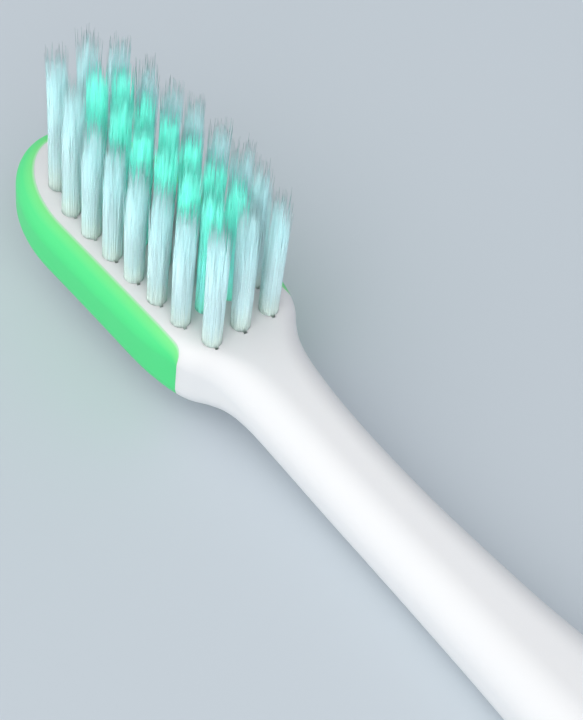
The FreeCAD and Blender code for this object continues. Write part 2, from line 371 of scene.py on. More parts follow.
class NodeBench:
    """A small bench for wiring one material's nodes."""

    def __init__(self, name: str) -> None:
        """Starts a material with an empty node tree."""
        self.material = bpy.data.materials.new(name)
        self.material.use_nodes = True
        self.tree = self.material.node_tree
        self.tree.nodes.clear()
        self.output = self.tree.nodes.new("ShaderNodeOutputMaterial")
        self.shader = self.tree.nodes.new("ShaderNodeBsdfPrincipled")
        self.join(self.shader, "BSDF", self.output, "Surface")

    def add(self, kind: str, **values: object) -> bpy.types.Node:
        """Adds a node.

        Args:
            kind: The node's type.
            **values: Its own settings.

        Returns:
            The node.
        """
        node = self.tree.nodes.new(kind)
        for key, value in values.items():
            setattr(node, key, value)
        return node

    def join(self, source: bpy.types.Node, out: str, target: bpy.types.Node, into: str) -> None:
        """Links one socket to another."""
        self.tree.links.new(source.outputs[out], target.inputs[into])

    def noise(self, pattern: Pattern) -> bpy.types.Node:
        """Noise on the object's own coordinates."""
        place = self.add("ShaderNodeTexCoord")
        mapping = self.add("ShaderNodeMapping")
        mapping.inputs["Scale"].default_value = pattern.stretch
        noise = self.add("ShaderNodeTexNoise")
        noise.inputs["Scale"].default_value = pattern.waves
        noise.inputs["Detail"].default_value = pattern.detail
        self.join(place, "Object", mapping, "Vector")
        self.join(mapping, "Vector", noise, "Vector")
        return noise

    def span(self, source: bpy.types.Node, limits: Span) -> bpy.types.Node:
        """Maps a node's value from 0 and 1 to two limits.

        Args:
            source: The node that gives the value.
            limits: What 0 and 1 become.

        Returns:
            The map node.
        """
        node = self.add("ShaderNodeMapRange")
        node.inputs["To Min"].default_value, node.inputs["To Max"].default_value = limits
        self.join(source, "Fac", node, "Value")
        return node

    def ramp(self, source: bpy.types.Node, stops: Row, colours: tuple[Colour, ...]) -> bpy.types.Node:
        """A ramp of colours over a node's value.

        Args:
            source: The node that gives the value.
            stops: Where on the ramp each colour sits.
            colours: The colours.

        Returns:
            The ramp node.
        """
        node = self.add("ShaderNodeValToRGB")
        elements = node.color_ramp.elements
        while len(elements) < len(stops):
            elements.new(stops[-1])
        for element, place, colour in zip(elements, stops, colours):
            element.position = place
            element.color = (*colour, 1.0)
        self.join(source, "Fac", node, "Fac")
        return node

    def paint(self, tone: bpy.types.Node) -> None:
        """Gives the shader a node's colour."""
        self.join(tone, "Color", self.shader, "Base Color")

    def dull(self, source: bpy.types.Node, roughness: Span) -> None:
        """Lets a node's value move the roughness between two limits."""
        self.join(self.span(source, roughness), "Result", self.shader, "Roughness")

    def bump(self, grain: Grain) -> None:
        """Raises the surface by a grain."""
        node = self.add("ShaderNodeBump")
        node.inputs["Strength"].default_value = grain.strength
        node.inputs["Distance"].default_value = grain.height
        self.join(self.noise(grain), "Fac", node, "Height")
        self.join(node, "Normal", self.shader, "Normal")

    def set(self, **values: object) -> None:
        """Sets the shader's own sockets, with spaces as underscores."""
        for key, value in values.items():
            self.shader.inputs[key.replace("_", " ")].default_value = value

    def spread(self, light: InnerLight) -> None:
        """Lets light spread inside the material."""
        self.set(Subsurface_Weight=light.share, Subsurface_Scale=light.reach)
        self.set(Subsurface_Radius=light.by_colour)


@dataclass(frozen=True)
class GlossPlastic:
    """Smooth moulded plastic with faint flow marks.

    Attributes:
        name: Name of the material.
        colour: Main colour.
        flow_colour: Colour of the flow marks.
        flow: Pattern of the flow marks.
        flow_stops: Where in the pattern the marks end and the main colour starts.
        roughness: Roughness where the mould was smoothest and where it was dullest.
        grain: Grain of the mould.
        refraction: Index of refraction.
        light: Light that spreads inside.
    """

    name: str = "white_gloss_plastic"
    colour: Colour = (0.9, 0.9, 0.9)
    flow_colour: Colour = (0.88, 0.885, 0.895)
    flow: Pattern = Pattern(waves=90.0, detail=3.0, stretch=(0.25, 1.0, 1.0))
    flow_stops: Span = (0.35, 0.65)
    roughness: Span = (0.46, 0.56)
    grain: Grain = Grain(waves=2600.0, detail=2.0, strength=0.08)
    refraction: float = 1.49
    light: InnerLight = InnerLight(share=0.12, reach=0.0012, by_colour=(1.0, 0.95, 0.9))

    def material(self) -> bpy.types.Material:
        """Wires the material."""
        bench = NodeBench(self.name)
        flow = bench.noise(self.flow)
        bench.paint(bench.ramp(flow, self.flow_stops, (self.flow_colour, self.colour)))
        bench.dull(flow, self.roughness)
        bench.bump(self.grain)
        bench.set(IOR=self.refraction)
        bench.spread(self.light)
        return bench.material


@dataclass(frozen=True)
class SoftPlastic:
    """Soft satin plastic, with a painted highlight that is palest at the inner rim and lighter where the
    band rounds over.

    Attributes:
        name: Name of the material.
        rim_highlight_colour: Painted highlight at the very inner edge, where the band meets the deck.
        rounding_highlight_colour: Painted highlight where the band rounds over to the deck.
        colour: Main colour.
        highlight_stops: Where the rim highlight, the rounding highlight and the main colour sit in the
            painted highlight.
        skin: Pattern of duller and smoother places.
        roughness: Roughness of the smoothest and the dullest place.
        grain: Grain of the soft surface.
        refraction: Index of refraction.
        light: Light that spreads inside.
    """

    name: str = "green_soft_plastic"
    rim_highlight_colour: Colour = (0.62, 0.90, 0.66)
    rounding_highlight_colour: Colour = (0.215, 0.88, 0.28)
    colour: Colour = (0.086, 0.81, 0.265)
    highlight_stops: Triple = (0.0, 0.13, 0.62)
    skin: Pattern = Pattern(waves=500.0, detail=4.0)
    roughness: Span = (0.36, 0.52)
    grain: Grain = Grain(waves=5200.0, detail=3.0, strength=0.25)
    refraction: float = 1.47
    light: InnerLight = InnerLight(share=0.15, reach=0.0008, by_colour=(0.5, 1.0, 0.6))

    def material(self) -> bpy.types.Material:
        """Wires the material."""
        bench = NodeBench(self.name)
        # Painted highlight: palest at the inner rim, lighter over the rounding, then the main green.
        highlight_share = bench.add("ShaderNodeAttribute", attribute_name="edge_fade")
        bench.paint(bench.ramp(highlight_share, self.highlight_stops, (self.rim_highlight_colour, self.rounding_highlight_colour, self.colour)))
        bench.dull(bench.noise(self.skin), self.roughness)
        bench.bump(self.grain)
        bench.set(IOR=self.refraction)
        bench.spread(self.light)
        return bench.material


@dataclass(frozen=True)
class FilamentFinish:
    """Milky translucent nylon, with light and shade painted along each filament.

    Attributes:
        name: Name of the material.
        hole_shade_colour: Painted shade at the rim of the hole, where the fold takes the light away.
        foot_colour: Colour just over the deck.
        body_colour: Colour half way up, set against the tip colour to paint light and shade along the tuft.
        tip_colour: Colour at the tip, painted darker on the lit green tips and lighter on the shaded white
            tips.
        stops: Shares of the height for the hole, the foot, both ends of the body and the tip.
        shade_range: Brightness of the darkest and the lightest filament.
        streaks: Pattern of duller and smoother places, drawn out along the filaments.
        roughness: Roughness of the smoothest and the dullest place.
        refraction: Index of refraction.
        light: Light that spreads from filament to filament.
    """

    name: str
    hole_shade_colour: Colour
    foot_colour: Colour
    body_colour: Colour
    tip_colour: Colour
    stops: Row = (0.09, 0.125, 0.3, 0.5, 0.72)
    shade_range: Span = (0.9, 1.06)
    streaks: Pattern = Pattern(waves=1500.0, detail=2.0, stretch=(1.0, 1.0, 0.05))
    roughness: Span = (0.3, 0.5)
    refraction: float = 1.4
    light: InnerLight = InnerLight(share=1.0, reach=0.001, by_colour=(1.0, 1.0, 1.0))

    def material(self) -> bpy.types.Material:
        """Wires the material."""
        bench = NodeBench(self.name)
        rise = bench.add("ShaderNodeAttribute", attribute_name="rise")
        # The ramp paints shade at the hole, and the body and tip colours paint light and shade along the
        # filament.
        colours = (self.hole_shade_colour, self.foot_colour, self.body_colour, self.body_colour, self.tip_colour)
        tone = bench.ramp(rise, self.stops, colours)
        shade = bench.add("ShaderNodeAttribute", attribute_name="shade")
        shaded = bench.add("ShaderNodeHueSaturation")
        bench.join(bench.span(shade, self.shade_range), "Result", shaded, "Value")
        bench.join(tone, "Color", shaded, "Color")
        bench.paint(shaded)
        bench.dull(bench.noise(self.streaks), self.roughness)
        bench.set(IOR=self.refraction)
        bench.shader.subsurface_method = "BURLEY"
        bench.spread(self.light)
        return bench.material


@dataclass(frozen=True)
class DrawnMetal:
    """Flat drawn wire with lines along it.

    Attributes:
        name: Name of the material.
        colour: Main colour.
        line_shade: Brightness of the lines, as a share of the main colour.
        lines: Pattern of the lines.
        line_stops: Where in the pattern the lines end and the main colour starts.
        roughness: Roughness of the smoothest and the dullest place.
    """

    name: str = "anchor_wire_metal"
    colour: Colour = (0.62, 0.5, 0.27)
    line_shade: float = 0.8
    lines: Pattern = Pattern(waves=3000.0, detail=2.0, stretch=(0.05, 1.0, 1.0))
    line_stops: Span = (0.3, 0.7)
    roughness: Span = (0.25, 0.45)

    def material(self) -> bpy.types.Material:
        """Wires the material."""
        bench = NodeBench(self.name)
        lines = bench.noise(self.lines)
        line_colour = tuple(self.line_shade * part for part in self.colour)
        bench.paint(bench.ramp(lines, self.line_stops, (line_colour, self.colour)))
        bench.dull(lines, self.roughness)
        bench.set(Metallic=1.0)
        return bench.material


@dataclass(frozen=True)
class BodyLines:
    """The brush from the widest line of its head to its tail, drawn through a few sections.

    Distances are measured back from the start of the shoulder.

    Attributes:
        start_x: Where the shoulder starts.
        deck_height: Height of the deck.
        head_thickness: Thickness of the head at its widest line.
        heel_extra: How much thicker the head is at the shoulder.
        deck_edge_radius: Radius of the head's upper edges.
        back_edge_radius: Radius of its lower edges.
        shoulder_length: From the head to the waist of the neck.
        neck_thickness: Thickness at the waist.
        neck_drop: How far the middle of the neck lies below the middle of the heel.
        neck_roundness: Corner radius at the waist, as a share of half the thickness.
        grip_distance: From the waist to the fullest part of the grip.
        grip_half_width: Half width there.
        grip_thickness: Thickness there.
        grip_roundness: Corner radius there and behind it, as a share of half the thickness.
        tail_distance: From the fullest part of the grip to the start of the tail's round end.
        tail_half_width: Half width there.
        tail_thickness: Thickness there.
        belly: Height of the grip's underside before the flat is cut.
    """

    start_x: float = -70.79
    deck_height: float = 7.7
    head_thickness: float = 4.6
    heel_extra: float = 0.73
    deck_edge_radius: float = 1.5
    back_edge_radius: float = 1.6
    shoulder_length: float = 12.0
    neck_thickness: float = 5.0
    neck_drop: float = 1.51
    neck_roundness: float = 0.92
    grip_distance: float = 68.0
    grip_half_width: float = 6.2
    grip_thickness: float = 9.4
    grip_roundness: float = 0.8
    tail_distance: float = 75.49
    tail_half_width: float = 5.2
    tail_thickness: float = 7.5
    belly: float = -0.15

    # Distance ahead of the shoulder and half width
    HEAD_ROWS = (
        (13.506, 5.88),
        (11.0, 5.87),
        (8.5, 5.85),
        (6.0, 5.81),
        (4.0, 5.765),
        (2.5, 5.66),
        (1.2, 5.45),
        (0.0, 5.14),
    )
    # Share of the shoulder's length, half width, share of the drop and share of the change to the neck
    SHOULDER_ROWS = (
        (0.09, 4.72, 0.05, 0.08),
        (0.18, 3.97, 0.11, 0.29),
        (0.27, 3.45, 0.18, 0.56),
        (0.37, 3.20, 0.27, 0.83),
        (0.50, 3.06, 0.42, 1.00),
        (0.66, 2.96, 0.65, 1.00),
        (0.83, 2.915, 0.84, 1.00),
        (1.00, 2.905, 1.00, 1.00),
    )
    # Share of the way to the grip, half width, share of its thickness and share of the fall to its belly
    NECK_ROWS = (
        (0.06, 2.93, 0.02, 0.30),
        (0.12, 3.02, 0.05, 0.49),
        (0.22, 3.29, 0.125, 0.72),
        (0.32, 3.75, 0.25, 0.84),
        (0.44, 4.35, 0.44, 0.93),
        (0.59, 5.09, 0.68, 1.00),
        (0.78, 5.84, 0.90, 1.00),
        (1.00, 6.20, 1.00, 1.00),
    )
    # Share of the way to the tail and share of the change to its size
    TAIL_ROWS = ((0.25, 0.06), (0.50, 0.33), (0.75, 0.70), (1.00, 1.00))

    @property
    def head_length(self) -> float:
        """From the widest line of the head to the shoulder."""
        return self.HEAD_ROWS[0][0]

    @property
    def head_edges(self) -> Span:
        """Radii of the head's upper and lower edges."""
        return self.deck_edge_radius, self.back_edge_radius

    @property
    def heel_thickness(self) -> float:
        """Thickness of the head at the shoulder."""
        return self.head_thickness + self.heel_extra

    @property
    def length(self) -> float:
        """Distance at which the tail's round end starts."""
        return self.grip_place(1.0) + self.tail_distance

    def grip_place(self, share: float) -> float:
        """Distance at a share of the way from the waist of the neck to the grip."""
        return self.shoulder_length + self.grip_distance * share

    def head_stations(self) -> list[Section]:
        """Sections of the head, whose back sinks towards the shoulder."""
        found = []
        for ahead, half_width in self.HEAD_ROWS:
            share = 1 - ahead / self.head_length
            bottom = self.deck_height - self.head_thickness - self.heel_extra * share**2
            found.append(Section(-ahead, half_width, self.deck_height, bottom, *self.head_edges))
        return found

    def shoulder_stations(self) -> list[Section]:
        """Sections of the shoulder down to the waist of the neck."""
        found = []
        waist_radius = self.neck_roundness * self.neck_thickness / 2
        for place, half_width, drop, change in self.SHOULDER_ROWS:
            thickness = between(self.heel_thickness, self.neck_thickness, change)
            top = self.deck_height - self.heel_thickness / 2 - self.neck_drop * drop + thickness / 2
            edges = [between(edge, waist_radius, change) for edge in self.head_edges]
            found.append(Section(self.shoulder_length * place, half_width, top, top - thickness, *edges))
        return found

    def grip_stations(self) -> list[Section]:
        """Sections of the neck and the grip, back to the tail."""
        found = []
        waist_bottom = self.shoulder_stations()[-1].bottom
        for place, half_width, growth, fall in self.NECK_ROWS:
            thickness = between(self.neck_thickness, self.grip_thickness, growth)
            bottom = between(waist_bottom, self.belly, fall)
            radius = between(self.neck_roundness, self.grip_roundness, growth) * thickness / 2
            top = bottom + thickness
            found.append(Section(self.grip_place(place), half_width, top, bottom, radius, radius))
        for place, change in self.TAIL_ROWS:
            thickness = between(self.grip_thickness, self.tail_thickness, change)
            half_width = between(self.grip_half_width, self.tail_half_width, change)
            distance = self.grip_place(1.0) + self.tail_distance * place
            radius = self.grip_roundness * thickness / 2
            found.append(Section(distance, half_width, self.belly + thickness, self.belly, radius, radius))
        return found

    @cached_property
    def lines(self) -> dict[str, FairLine]:
        """The smooth line along the brush of each measure of its sections."""
        stations = self.head_stations() + self.shoulder_stations() + self.grip_stations()
        names = ("half_width", "top", "bottom", "top_radius", "bottom_radius")
        return {name: FairLine(tuple((row.x, getattr(row, name)) for row in stations)) for name in names}

    def section(self, x: float, cut: float = math.inf) -> Section:
        """The section across the brush at a place.

        Args:
            x: Place along the brush.
            cut: Distance from the middle at which its sides are cut off.

        Returns:
            The section, held at the widest line in front of it.
        """
        return Section(x, *[line.at(x - self.start_x) for line in self.lines.values()], cut)


@dataclass(frozen=True)
class HeadSizes:
    """Sizes of the head that its core, its band and its tufts share.

    Attributes:
        body: Lines of the brush behind the tip.
        field_x: Middle of the tufts.
        tip_x: Tip of the head.
        band_width: Width of the band at the deck.
        band_end_x: Where the band ends at the neck.
        corner_length: Length of the rounded corner at that end.
        least_band: Width of the band at its very end.
        hole_radius: Radius of the tufts' holes.
        hole_depth: Their depth.
        straight_steps: Sections along the straight of the band.
        corner_steps: Sections in its rounded corner.
    """

    body: BodyLines = BodyLines()
    field_x: float = -78.84
    tip_x: float = -93.0
    band_width: float = 1.36
    band_end_x: float = -70.47
    corner_length: float = 0.9
    least_band: float = 0.02
    hole_radius: float = 0.7
    hole_depth: float = 3.0
    straight_steps: int = 36
    corner_steps: int = 14

    @property
    def deck_height(self) -> float:
        """Height of the deck."""
        return self.body.deck_height

    @property
    def widest_x(self) -> float:
        """Place of the widest line, behind which the sides run straight."""
        return self.body.start_x - self.body.head_length

    @property
    def head_half_width(self) -> float:
        """Half width of the head at its widest line."""
        return self.body.section(self.widest_x).half_width

    @property
    def head_tip_length(self) -> float:
        """From the widest line to the tip of the head."""
        return self.widest_x - self.tip_x

    @property
    def deck_half_width(self) -> float:
        """Half width of the deck inside the band."""
        return self.head_half_width - self.band_width

    @property
    def deck_tip_length(self) -> float:
        """From the widest line to the tip of the deck."""
        return self.head_tip_length - self.band_width

    def core_half_width(self, x: float) -> float:
        """Half width of the white core, which curves out to the side at the end of the band."""
        into_corner = (x - (self.band_end_x - self.corner_length)) / self.corner_length
        if into_corner <= 0:
            return self.deck_half_width
        flare = 1 - math.sqrt(max(1 - into_corner**2, 0.0))
        side = self.body.section(self.band_end_x).half_width - self.least_band
        return between(self.deck_half_width, side, flare)

    def straight_stations(self) -> list[float]:
        """Places from the widest line to the end of the band, close together in the corner."""
        corner_x = self.band_end_x - self.corner_length
        steps = self.straight_steps
        stations = [between(self.widest_x, corner_x, step / steps) for step in range(steps)]
        for step in range(self.corner_steps + 1):
            angle = math.pi / 2 * step / self.corner_steps
            stations.append(corner_x + self.corner_length * math.sin(angle))
        return stations


@dataclass(frozen=True)
class TuftPlace:
    """One tuft's colour, its row from the tip, its column and its place on the deck."""

    tint: Tint
    row: int
    column: str
    x: float
    y: float

    @property
    def node(self) -> str:
        """The CAD node that the tuft stands for."""
        return f"{self.tint.value}_tuft_row_{self.row}_{self.column}"


@dataclass(frozen=True)
class TuftField:
    """The layout of the tufts on the deck."""

    head: HeadSizes
    long_rows: int = 6
    column_pitch: float = 2.1
    row_pitch: float = 2.5
    end_row_gap: float = 2.55
    end_tuft_pitch: float = 2.45
    outer_bow: float = 0.17

    def places(self) -> list[TuftPlace]:
        """Every tuft: row 1 is at the tip.

        Returns:
            The tufts in the order of their rows.
        """
        half_rows = (self.long_rows - 1) / 2
        end_distance = half_rows * self.row_pitch + self.end_row_gap
        found = []
        for row, way in ((1, -1), (self.long_rows + 2, 1)):
            for column, step in (("left", -1), ("middle", 0), ("right", 1)):
                x = self.head.field_x + way * end_distance
                found.append(TuftPlace(Tint.WHITE, row, column, x, step * self.end_tuft_pitch))
        for index in range(self.long_rows):
            along = index - half_rows
            x = self.head.field_x + along * self.row_pitch
            bow = self.outer_bow * (1 - (along / half_rows) ** 2)
            for side in Side:
                column = side.name.lower()
                outer = side.value * (1.5 * self.column_pitch + bow)
                inner = side.value * 0.5 * self.column_pitch
                found.append(TuftPlace(Tint.WHITE, index + 2, column, x, outer))
                found.append(TuftPlace(Tint.GREEN, index + 2, column, x, inner))
        return found


@dataclass(frozen=True)
class ThumbRest:
    """A shallow dish with soft ribs in the top of the handle."""

    middle: Vector
    up: Vector
    along: Vector
    radius: float = 75.0
    rib_count: int = 5
    rib_pitch: float = 2.6
    rib_length: float = 6.2
    rib_width: float = 1.25
    rib_rise: float = 0.3
    rib_roundness: float = 1.3

    def rib(self, along: float, across: float) -> float:
        """Height of the ribs over the dish.

        Args:
            along: Distance along the handle from the middle of the rest.
            across: Distance from the middle of the handle.

        Returns:
            The height there, 0 between the ribs.
        """
        best = 0.0
        for index in range(self.rib_count):
            offset = along - (index - (self.rib_count - 1) / 2) * self.rib_pitch
            beyond = max(abs(across) - (self.rib_length - self.rib_width) / 2, 0.0)
            apart = math.hypot(offset, beyond) / (self.rib_width / 2)
            if apart < 1:
                best = max(best, self.rib_rise * math.cos(math.pi / 2 * apart) ** self.rib_roundness)
        return best

    def press(self, point: Vector) -> Vector:
        """Presses a point of the handle's skin down to the dish and its ribs.

        Args:
            point: A point on the plain handle.

        Returns:
            The point where the thumb rest puts it.
        """
        arm = point - self.middle
        along, across, height = arm.dot(self.along), arm.y, arm.dot(self.up)
        room = self.radius**2 - along**2 - across**2
        if room <= 0 or height > 0:
            return point
        floor = -math.sqrt(room) + self.rib(along, across)
        if height <= floor:
            return point
        return point + self.up * (floor - height)


@dataclass(frozen=True)
class Handle:
    """The white moulding: core of the head with its deck, neck and handle.

    Attributes:
        head: Sizes of the head.
        field_of_tufts: Layout of the tufts.
        tail_round: Length of the tail's round end.
        thumb_share: Middle of the thumb rest, as a share of the way from the neck to the grip.
        thumb_end_shares: Where the slope of the thumb rest is taken from, as such shares.
        dish_depth: Depth of the thumb rest.
        rest_clear: How far behind the band the thumb rest can start.
        fit_gap: Gap between the core and the band.
        weld_gap: Points nearer than this become one.
        tip_steps: Sections round the tip of the core.
        neck_run: Spacing and number of sections behind the band.
        grip_start: Where the sections of the grip start, behind the shoulder.
        grip_run: Their spacing and number up to the thumb rest.
        rest_run: Their spacing and number along the thumb rest.
        back_steps: Sections from the thumb rest to the tail.
        tail_steps: Sections round the tail.
        tail_closing: Steps that would close the tail to a point.
        cutter_height: Height of the cutters for the holes.
        hole_sides: Sides of a hole.
        track_length: Length of the track that an anchor leaves.
        track_width: Its width.
        track_lift: How far its floor lies over the floor of the hole.
        track_turn: Its turn in degrees.
        crease_degrees: Edges sharper than this stay sharp.
    """

    head: HeadSizes
    field_of_tufts: TuftField
    tail_round: float = 8.3
    thumb_share: float = 0.59
    thumb_end_shares: Span = (0.44, 0.78)
    dish_depth: float = 0.75
    rest_clear: float = 30.0
    fit_gap: float = 0.01
    weld_gap: float = 0.0005
    tip_steps: int = 40
    neck_run: tuple[float, int] = (0.35, 39)
    grip_start: float = 14.0
    grip_run: tuple[float, int] = (0.8, 36)
    rest_run: tuple[float, int] = (0.2, 94)
    back_steps: int = 80
    tail_steps: int = 24
    tail_closing: float = 24.3
    cutter_height: float = 6.0
    hole_sides: int = 36
    track_length: float = 1.74
    track_width: float = 0.29
    track_lift: float = 0.5
    track_turn: float = -12.0
    crease_degrees: float = 40.0

    def core_rims(self) -> list[Rim]:
        """Rims of the head's core, from the tip of the deck to the end of the band."""
        head = self.head
        rims = []
        for step in range(self.tip_steps + 1):
            angle = math.pi / 2 * step / self.tip_steps
            x = head.widest_x - head.deck_tip_length * math.cos(angle)
            cut = max(head.deck_half_width * math.sin(angle) - self.fit_gap, 0.0)
            rims.append(head.body.section(x, cut).rim())
        for x in head.straight_stations()[1:]:
            rims.append(head.body.section(x, head.core_half_width(x) - self.fit_gap).rim())
        return rims

    def shaft_rims(self) -> list[Rim]:
        """Rims of the neck and the handle, from the end of the band to the tail."""
        body = self.head.body
        rest_start = self.grip_start + math.prod(self.grip_run)
        rest_end = rest_start + math.prod(self.rest_run)
        stations = evenly(self.head.band_end_x - body.start_x, *self.neck_run)
        stations += evenly(self.grip_start, *self.grip_run)
        stations += evenly(rest_start, *self.rest_run)
        stations += evenly(rest_end, (body.length - rest_end) / self.back_steps, self.back_steps + 1)
        rims = [body.section(body.start_x + distance).rim() for distance in stations]
        last = body.section(body.start_x + body.length)
        middle = (last.top + last.bottom) / 2
        for step in range(1, self.tail_steps + 1):
            angle = math.pi / 2 * step / self.tail_closing
            size = math.cos(angle)
            tail = Section(
                last.x + self.tail_round * math.sin(angle),
                last.half_width * size,
                between(middle, last.top, size),
                between(middle, last.bottom, size),
                last.top_radius * size,
                last.bottom_radius * size,
            )
            rims.append(tail.rim())
        return rims

    def thumb_rest(self) -> ThumbRest:
        """The thumb rest, set into the top of the handle."""
        body = self.head.body
        shares = (*self.thumb_end_shares, self.thumb_share)
        places = [body.start_x + body.grip_place(share) for share in shares]
        start, end, top = (Vector((x, 0, body.section(x).top)) for x in places)
        along = (end - start).normalized()
        up = Vector((-along.z, 0, along.x))
        return ThumbRest(top + up * (ThumbRest.radius - self.dish_depth), up, along)

    def hole_cutters(self) -> list[bpy.types.Object]:
        """Cutters for the tufts' holes and for the tracks that the anchors leave beside them."""
        head = self.head
        middle_z = head.deck_height - head.hole_depth + self.cutter_height / 2
        turn = Matrix.Rotation(math.radians(self.track_turn), 4, "Z")
        size = Matrix.Diagonal((self.track_length, self.track_width, self.cutter_height, 1.0))
        track = Matrix.Translation((0, 0, self.track_lift)) @ turn @ size
        holes, tracks = bmesh.new(), bmesh.new()
        for place in self.field_of_tufts.places():
            at = Matrix.Translation((place.x, place.y, middle_z))
            bmesh.ops.create_cone(
                holes,
                cap_ends=True,
                segments=self.hole_sides,
                radius1=head.hole_radius,
                radius2=head.hole_radius,
                depth=self.cutter_height,
                matrix=at,
            )
            bmesh.ops.create_cube(tracks, size=1.0, matrix=at @ track)
        return [Mesh.to_object(holes, "hole_cutter"), Mesh.to_object(tracks, "track_cutter")]

    def build(self) -> bpy.types.Object:
        """Builds the moulding.

        Returns:
            The white piece, holes and thumb rest included.
        """
        bm = bmesh.new()
        rows = Mesh.skin(bm, self.core_rims() + self.shaft_rims())
        Mesh.close_row(bm, rows[-1])
        rest = self.thumb_rest()
        for vert in bm.verts:
            if vert.co.x > self.head.band_end_x + self.rest_clear:
                vert.co = rest.press(vert.co)
            vert.co.z = max(vert.co.z, 0.0)
        bmesh.ops.remove_doubles(bm, verts=bm.verts, dist=self.weld_gap)
        obj = Mesh.to_object(bm, "white_handle", self.crease_degrees)
        Mesh.carve(obj, self.hole_cutters(), self.crease_degrees)
        return obj


@dataclass(frozen=True)
class HeadBand:
    """The soft green band round the sides and the tip of the head.

    Attributes:
        head: Sizes of the head.
        arc_steps: Steps round each edge of the band.
        wall_steps: Steps up each of its walls.
        tip_steps: Sections round the tip.
        highlight_length: Width of the painted highlight, measured from the inner rim.
        crease_degrees: Edges sharper than this stay sharp.
    """

    head: HeadSizes
    arc_steps: int = 14
    wall_steps: int = 6
    tip_steps: int = 80
    highlight_length: float = 1.6
    crease_degrees: float = 50.0

    def stations(self) -> list[tuple[Vector, Vector]]:
        """Points on the head's outline and on the core's, from the left end round to the right end."""
        head = self.head
        side = [
            (Vector((x, head.body.section(x).half_width, 0)), Vector((x, head.core_half_width(x), 0)))
            for x in reversed(head.straight_stations()[1:])
        ]
        pairs = [(Vector((a.x, -a.y, 0)), Vector((b.x, -b.y, 0))) for a, b in side]
        for step in range(self.tip_steps + 1):
            angle = math.pi * step / self.tip_steps - math.pi / 2
            ahead, across = math.cos(angle), math.sin(angle)
            outer = Vector((head.widest_x - head.head_tip_length * ahead, head.head_half_width * across, 0))
            inner = Vector((head.widest_x - head.deck_tip_length * ahead, head.deck_half_width * across, 0))
            pairs.append((outer, inner))
        return pairs + list(reversed(side))

    def profile(self, width: float, section: Section) -> list[tuple[float, float]]:
        """The band's closed outline across its run.

        Args:
            width: From the head's side to the core.
            section: The head's section here.

        Returns:
            Pairs of distance in from the side and height, from the core over the top and down.
        """
        shape = []
        over = (section.top_radius, section.top, -1)
        under = (section.bottom_radius, section.bottom, 1)
        for radius, flat, way in (over, under):
            start = math.asin(max(0.0, 1 - width / radius))
            arc = []
            for step in range(self.arc_steps + 1):
                angle = between(start, math.pi / 2, step / self.arc_steps)
                inward = radius * (1 - math.sin(angle))
                arc.append((inward, flat + way * radius * (1 - math.cos(angle))))
            if width > radius:
                arc[0] = (width, flat)
            shape.append(arc)
        upper, lower = shape[0], list(reversed(shape[1]))
        outline = list(upper)
        for step in range(1, self.wall_steps):
            outline.append((0.0, between(upper[-1][1], lower[0][1], step / self.wall_steps)))
        outline += lower
        for step in range(1, self.wall_steps):
            outline.append((width, between(lower[-1][1], upper[0][1], step / self.wall_steps)))
        return outline

    def build(self) -> bpy.types.Object:
        """Builds the band.

        Returns:
            The green piece, with its painted highlight as an attribute.
        """
        bm = bmesh.new()
        bm.verts.layers.float.new("edge_fade")
        rims, highlight_shares = [], []
        for outer, inner in self.stations():
            inward = inner - outer
            outline = self.profile(inward.length, self.head.body.section(outer.x))
            inward.normalize()
            rims.append([outer + inward * depth + Vector((0, 0, z)) for depth, z in outline])
            # Share of the painted highlight, by distance along the outline from the inner rim
            run, highlight_share = 0.0, []
            for index, point in enumerate(outline):
                before = outline[max(index - 1, 0)]
                run += math.dist(point, before)
                highlight_share.append(min(run / self.highlight_length, 1.0))
            highlight_shares.append(highlight_share)
        rows = Mesh.skin(bm, rims)
        layer = bm.verts.layers.float["edge_fade"]
        for row, highlight_share in zip(rows, highlight_shares):
            for vert, value in zip(row, highlight_share):
                vert[layer] = value
        for row in (rows[0], rows[-1]):
            Mesh.close_row(bm, row)
        return Mesh.to_object(bm, "green_head_band", self.crease_degrees)


@dataclass(frozen=True)
class Trim:
    """How the filaments of one colour are cut and ground at their tips.

    Attributes:
        length_scatter: How much shorter some filaments are.
        girths: Thickness of a filament at each of its steps.
        heart_share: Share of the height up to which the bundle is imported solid.
    """

    length_scatter: float
    girths: Row
    heart_share: float


